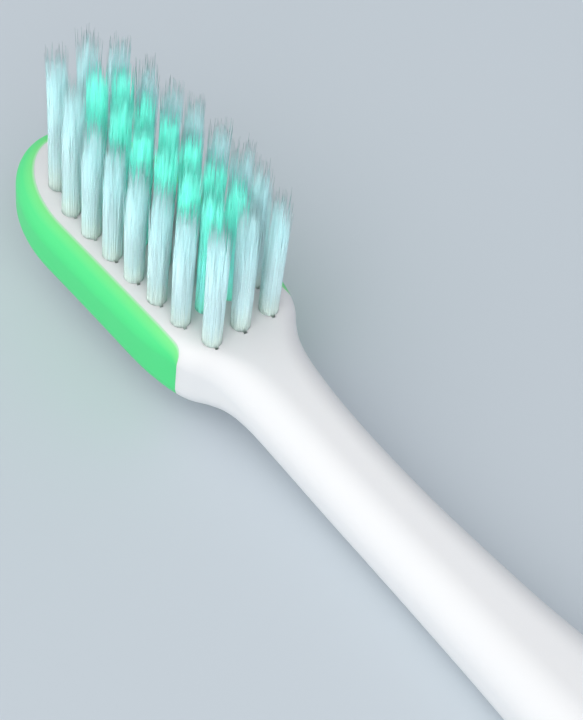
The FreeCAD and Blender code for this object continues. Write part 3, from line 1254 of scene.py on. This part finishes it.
@dataclass(frozen=True)
class TuftBundle:
    """A tuft of folded filaments that stand in one hole and feather out at the tips.

    Attributes:
        head: Sizes of the head.
        place: Where the tuft stands.
        seed: Seed of its random draws.
        height: Usual height over the deck.
        rings: Radius of each ring of filaments and how many stand on it.
        ring_jitter: How far a filament can stand from its place on the ring, as a share of the spacing.
        filament_radius: Radius of a filament.
        filament_sides: Its sides.
        bundle_radius: Radius of the bundle in the hole.
        sunk: How deep the bundle stands in the hole.
        overlength: How much longer than the tuft its longest filaments are.
        spread: How far the outer tips stand out, spread_power how late they do.
        tip_scatter: How far single tips stray, scatter_power how late they do.
        lean_range: How far a whole tuft can lean at random, lean_power how late it does.
        steps: Shares of the height at which a filament has its girths.
        heart_steps: Shares of the heart's height at which it has its girths.
        heart_girths: Girth of the heart at these steps.
        heart_sides: Sides of the heart.
        heart_shade: Its place between the darkest and the lightest filament.
        crease_degrees: Edges sharper than this stay sharp.
    """

    head: HeadSizes
    place: TuftPlace
    seed: int
    height: float = 11.8
    rings: tuple[tuple[float, int], ...] = (
        (0.08, 4),
        (0.19, 10),
        (0.3, 15),
        (0.41, 20),
        (0.52, 26),
        (0.63, 32),
    )
    ring_jitter: float = 0.22
    filament_radius: float = 0.063
    filament_sides: int = 5
    bundle_radius: float = 0.63
    sunk: float = 1.2
    overlength: float = 0.1
    spread: float = 0.08
    spread_power: float = 1.4
    tip_scatter: float = 0.11
    scatter_power: float = 2.2
    lean_range: float = 0.14
    lean_power: float = 1.8
    steps: Row = (0.0, 0.2, 0.4, 0.55, 0.67, 0.78, 0.89, 1.0)
    heart_steps: Row = (0.0, 0.2, 0.4, 0.55, 0.69, 0.8, 0.88, 0.95, 1.0)
    heart_girths: Row = (0.97, 0.97, 0.97, 0.96, 0.9, 0.78, 0.62, 0.4, 0.1)
    heart_sides: int = 24
    heart_shade: float = 0.1
    crease_degrees: float = 60.0

    # Extra heights of the tufts in each column, from row 1 at the tip to row 8
    EXTRA_HEIGHTS = {
        (Tint.WHITE, "left"): (1.2, 0.7, -0.9, -1.2, -1.0, -0.5, -0.6, -0.4),
        (Tint.WHITE, "middle"): (1.2, 0.0, 0.0, 0.0, 0.0, 0.0, 0.0, 0.0),
        (Tint.WHITE, "right"): (-0.4, -0.9, -1.1, -0.5, -0.8, -0.6, -0.3, -0.6),
        (Tint.GREEN, "left"): (0.0, 0.9, 0.0, 0.0, 0.0, 0.0, 0.0, 0.0),
        (Tint.GREEN, "right"): (0.0, 0.0, -0.6, -0.6, -0.5, -0.6, -0.4, 0.0),
    }
    # The tuft at the near corner of the tip leans out further than chance lets it
    LEANS = {"white_tuft_row_1_left": (-0.2, -0.26)}
    TRIMS = {
        Tint.WHITE: Trim(
            length_scatter=1.6,
            girths=(1.0, 1.0, 0.97, 0.88, 0.7, 0.5, 0.29, 0.09),
            heart_share=0.66,
        ),
        Tint.GREEN: Trim(
            length_scatter=2.0,
            girths=(1.0, 1.0, 1.0, 0.95, 0.83, 0.64, 0.4, 0.1),
            heart_share=0.62,
        ),
    }

    @property
    def trim(self) -> Trim:
        """How this tuft's filaments are cut."""
        return self.TRIMS[self.place.tint]

    @property
    def foot_z(self) -> float:
        """Height of the bundle's foot in its hole."""
        return self.head.deck_height - self.sunk

    def strand(self) -> bpy.types.Mesh:
        """One straight filament of unit radius and height, extruded step by step."""
        bm = bmesh.new()
        rims = []
        turns = spokes(self.filament_sides)
        for height, girth in zip(self.steps, self.trim.girths):
            rims.append([turn @ Vector((girth, 0, 0)) + Vector((0, 0, height)) for turn in turns])
        rows = Mesh.skin(bm, rims)
        for row in (rows[0], rows[-1]):
            Mesh.close_row(bm, row)
        bmesh.ops.recalc_face_normals(bm, faces=bm.faces)
        mesh = bpy.data.meshes.new("strand")
        bm.to_mesh(mesh)
        bm.free()
        return mesh

    def add_heart(self, bm: bmesh.types.BMesh, height: float, lean: Vector) -> None:
        """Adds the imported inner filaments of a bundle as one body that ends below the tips.

        Args:
            bm: The bmesh that gets the body.
            height: Height of the tuft over the deck.
            lean: How far the tips lean.
        """
        foot = Vector((self.place.x, self.place.y, self.foot_z))
        rims = []
        shares = [step * self.trim.heart_share for step in self.heart_steps]
        turns = spokes(self.heart_sides)
        for share, girth in zip(shares, self.heart_girths):
            middle = foot + lean * share**self.lean_power + Vector((0, 0, share * (height + self.sunk)))
            reach = girth * (self.bundle_radius + self.spread * share**self.spread_power)
            rims.append([middle + turn @ Vector((reach, 0, 0)) for turn in turns])
        rows = Mesh.skin(bm, rims)
        rise, shade = (bm.verts.layers.float[name] for name in ("rise", "shade"))
        for row, share in zip(rows, shares):
            for vert in row:
                vert[rise] = share
                vert[shade] = self.heart_shade
        for row in (rows[0], rows[-1]):
            Mesh.close_row(bm, row)

    def build(self) -> bpy.types.Object:
        """Builds the bundle.

        Returns:
            The tuft, with the height along each filament and its shade as attributes.
        """
        dice = random.Random(self.seed)
        strand = self.strand()
        bm = bmesh.new()
        for name in ("rise", "shade"):
            bm.verts.layers.float.new(name)
        height = self.height + self.EXTRA_HEIGHTS[self.place.tint, self.place.column][self.place.row - 1]
        lean_x, lean_y = [dice.uniform(-self.lean_range, self.lean_range) for _ in range(2)]
        lean = Vector((lean_x, lean_y, 0))
        lean += Vector((*self.LEANS.get(self.place.node, (0.0, 0.0)), 0))
        self.add_heart(bm, height, lean)
        rise, shade = (bm.verts.layers.float[name] for name in ("rise", "shade"))
        angles = [
            (radius, math.tau * (index + dice.uniform(-self.ring_jitter, self.ring_jitter)) / count)
            for radius, count in self.rings
            for index in range(count)
        ]
        for radius, angle in angles:
            root = Vector((radius * math.cos(angle), radius * math.sin(angle), 0))
            out = root * (self.spread / self.bundle_radius)
            scatter = Vector((dice.gauss(0, self.tip_scatter), dice.gauss(0, self.tip_scatter), 0))
            length = height + self.sunk + self.overlength - abs(dice.gauss(0, self.trim.length_scatter))
            tone = dice.random()
            known = len(bm.verts)
            bm.from_mesh(strand)
            bm.verts.ensure_lookup_table()
            for vert in bm.verts[known:]:
                share = vert.co.z
                sway = out * share**self.spread_power + scatter * share**self.scatter_power
                sway += lean * share**self.lean_power
                ring = Vector((vert.co.x, vert.co.y, 0)) * self.filament_radius
                lift = Vector((self.place.x, self.place.y, self.foot_z + share * length))
                vert.co = root + sway + ring + lift
                vert[rise] = share
                vert[shade] = tone
        bpy.data.meshes.remove(strand)
        return Mesh.to_object(bm, f"{self.place.node}_filaments", self.crease_degrees)


@dataclass(frozen=True)
class Lamp:
    """One square lamp that shines at the head.

    Attributes:
        name: Name of the lamp.
        place: Where it hangs, in metres from the head.
        size: Length of its sides in metres.
        power: Power in watts.
        colour: Colour of its light.
    """

    name: str
    place: Triple
    size: float
    power: float
    colour: Colour

    def hang(self, target: Vector) -> None:
        """Hangs the lamp over the place that it shines at."""
        data = bpy.data.lights.new(self.name, "AREA")
        data.color = self.colour
        data.size = self.size
        data.energy = self.power
        lamp = bpy.data.objects.new(self.name, data)
        lamp.location = target + Vector(self.place)
        lamp.rotation_euler = (-Vector(self.place)).to_track_quat("-Z", "Y").to_euler()
        bpy.context.scene.collection.objects.link(lamp)


@dataclass(frozen=True)
class Studio:
    """Pale floor, soft light and the camera of the photograph.

    Attributes:
        camera_place: Where the camera stands, in millimetres.
        right: Its direction to the right of the picture.
        down: Its direction down the picture.
        ahead: Its direction into the picture.
        lens: Focal length.
        sensor_width: Width of the sensor.
        clip_range: What the camera can see, in metres.
        lamps: The lamps.
        lit_place: What they shine at, in metres.
        surround_colour: Colour of the light from all round.
        surround_strength: Its strength.
        floor_size: Half of the floor's width.
        floor_segments: Squares along each side of the floor.
        floor_colour: Its colour.
        floor_roughness: Its roughness.
        floor_refraction: Its index of refraction.
    """

    camera_place: Triple = (1.6517, -66.7373, 119.423)
    right: Triple = (0.63343, 0.76924, 0.08388)
    down: Triple = (0.62403, -0.44372, -0.64319)
    ahead: Triple = (-0.45755, 0.45976, -0.76110)
    lens: float = 110.0
    sensor_width: float = 36.0
    clip_range: Span = (0.005, 20.0)
    lamps: tuple[Lamp, ...] = (
        Lamp("key_lamp", place=(-0.45, -0.60, 0.50), size=1.5, power=5.5, colour=(1.0, 0.98, 0.94)),
        Lamp("front_lamp", place=(0.47, -0.40, 0.66), size=1.1, power=5.4, colour=(1.0, 0.99, 0.97)),
    )
    lit_place: Triple = (-0.05, 0.0, 0.008)
    surround_colour: Colour = (0.89, 0.93, 1.0)
    surround_strength: float = 0.44
    floor_size: float = 3000.0
    floor_segments: int = 8
    floor_colour: Colour = (0.60, 0.66, 0.71)
    floor_roughness: float = 0.85
    floor_refraction: float = 1.3

    def set_camera(self) -> None:
        """Puts the camera where the photograph was taken."""
        data = bpy.data.cameras.new("camera")
        data.lens = self.lens
        data.sensor_width = self.sensor_width
        data.clip_start, data.clip_end = self.clip_range
        camera = bpy.data.objects.new("camera", data)
        up, back = -Vector(self.down), -Vector(self.ahead)
        turn = Matrix((Vector(self.right), up, back)).transposed()
        camera.matrix_world = Matrix.Translation(Vector(self.camera_place) * MILLIMETRE) @ turn.to_4x4()
        bpy.context.scene.collection.objects.link(camera)
        bpy.context.scene.camera = camera

    def set_floor(self) -> None:
        """Lays a wide pale floor under the brush."""
        bm = bmesh.new()
        count = self.floor_segments
        bmesh.ops.create_grid(bm, x_segments=count, y_segments=count, size=self.floor_size)
        floor = Mesh.to_object(bm, "floor")
        bench = NodeBench("pale_floor")
        bench.set(Base_Color=(*self.floor_colour, 1.0))
        bench.set(Roughness=self.floor_roughness, IOR=self.floor_refraction)
        floor.data.materials.append(bench.material)

    def set_light(self) -> None:
        """Hangs a large soft lamp on the left and one in front, with a pale surround."""
        for lamp in self.lamps:
            lamp.hang(Vector(self.lit_place))
        world = bpy.data.worlds.new("surround")
        world.use_nodes = True
        surround = world.node_tree.nodes["Background"]
        surround.inputs["Color"].default_value = (*self.surround_colour, 1.0)
        surround.inputs["Strength"].default_value = self.surround_strength
        bpy.context.scene.world = world

    def build(self) -> None:
        """Sets up floor, light, camera and plain colour."""
        self.set_floor()
        self.set_light()
        self.set_camera()
        bpy.context.scene.view_settings.view_transform = "Standard"


@dataclass(frozen=True)
class Toothbrush:
    """The whole brush: handle, band, tufts and the anchors that hold them."""

    head: HeadSizes = HeadSizes()

    # The hole colours are painted shade; the body and tip colours paint light and shade: green bodies
    # lightened and their lit tips darkened, white tips lightened where they fall in shade.
    FILAMENTS = {
        Tint.WHITE: FilamentFinish(
            name="white_filament",
            hole_shade_colour=(0.38, 0.46, 0.43),
            foot_colour=(0.53, 0.62, 0.58),
            body_colour=(0.48, 0.625, 0.635),
            tip_colour=(0.52, 0.705, 0.715),
        ),
        Tint.GREEN: FilamentFinish(
            name="green_filament",
            hole_shade_colour=(0.20, 0.62, 0.50),
            foot_colour=(0.32, 0.96, 0.79),
            body_colour=(0.385, 1.0, 0.91),
            tip_colour=(0.305, 0.90, 0.79),
        ),
    }

    def build(self) -> None:
        """Builds and dresses every piece."""
        tufts = TuftField(self.head)
        Mesh.adopt(Handle(self.head, tufts).build(), "handle", "white_plastic", GlossPlastic().material())
        Mesh.adopt(HeadBand(self.head).build(), "head_band", "green_soft_plastic", SoftPlastic().material())
        materials = {tint: finish.material() for tint, finish in self.FILAMENTS.items()}
        for seed, place in enumerate(tufts.places()):
            bundle = TuftBundle(self.head, place, seed).build()
            Mesh.adopt(bundle, place.node, f"{place.tint.value}_bristle", materials[place.tint])
        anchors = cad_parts["tuft_anchors"]
        metal = DrawnMetal().material()
        for index in range(len(anchors.material_slots)):
            anchors.material_slots[index].material = metal
        LOG.info("tuft_anchors keeps its CAD shape")


def main() -> None:
    """Builds the studio and the brush."""
    logging.basicConfig(level=logging.INFO, format="%(name)s: %(message)s")
    Studio().build()
    Toothbrush().build()


if __name__ == "__main__":
    main()
